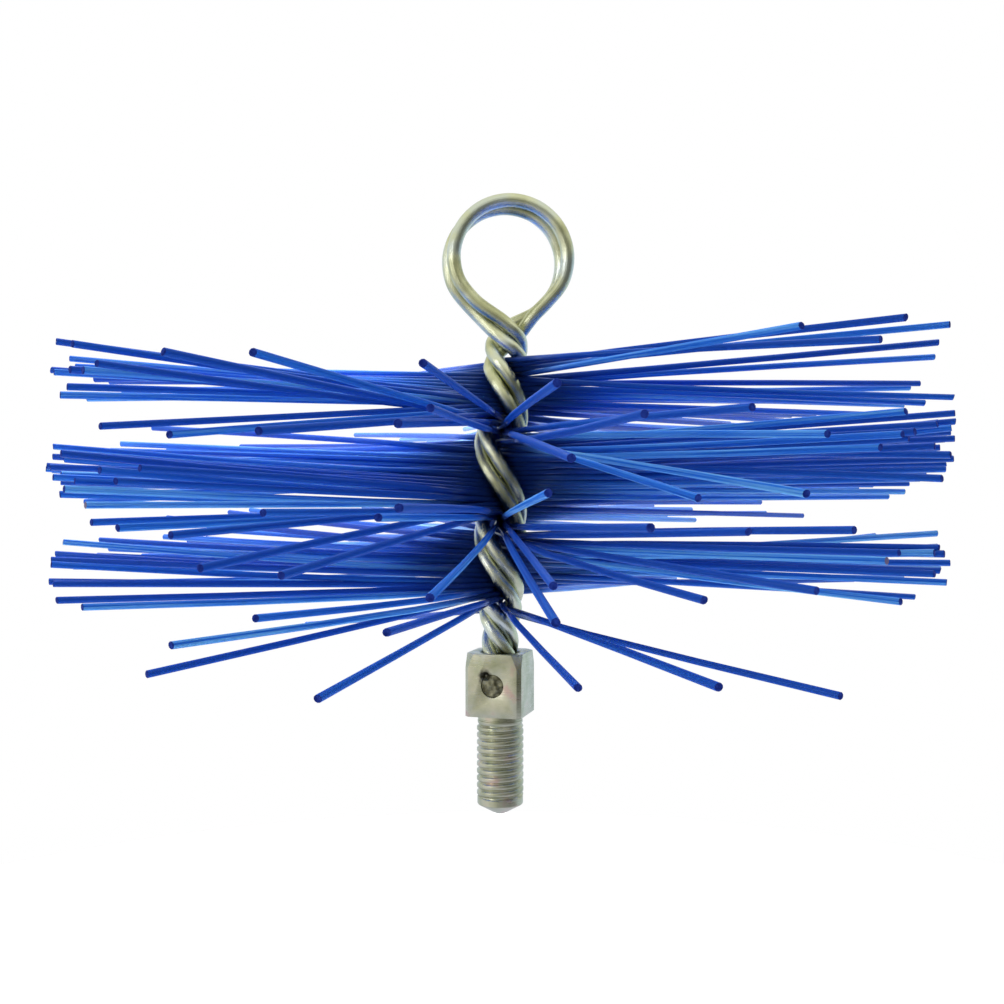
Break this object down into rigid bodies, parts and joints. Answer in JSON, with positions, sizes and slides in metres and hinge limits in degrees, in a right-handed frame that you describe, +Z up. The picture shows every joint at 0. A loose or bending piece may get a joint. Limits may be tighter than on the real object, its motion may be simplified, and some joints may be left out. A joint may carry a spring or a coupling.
{
  "type": "chimney sweep brush",
  "caption": "Round brush of stiff plastic bristles clamped in a twisted wire stem, with a pulling eye on top and a square coupler with a threaded stud below.",
  "frame": {"origin": "centre of the stud's blunt end, on the axis of the stem", "axes": "+Z up the stem towards the pulling eye, -Y towards the viewer of the front view, +X to the right in it"},
  "size_m": [0.1787, 0.1778, 0.13],
  "materials": {
    "zinc_wire": "bright zinc plate",
    "coupler_steel": "dull zinc plate",
    "plug_steel": "dark plate",
    "blue_bristle": "satin, drawn lengthwise"
  },
  "bodies": {
    "root": {"stem_wire_front": "zinc_wire", "stem_wire_rear": "zinc_wire", "threaded_coupler": "coupler_steel", "locking_plug": "plug_steel", "bristles_bottom": "blue_bristle", "bristles_lower": "blue_bristle", "bristles_upper": "blue_bristle", "bristles_top": "blue_bristle"}
  },
  "joints": []
}
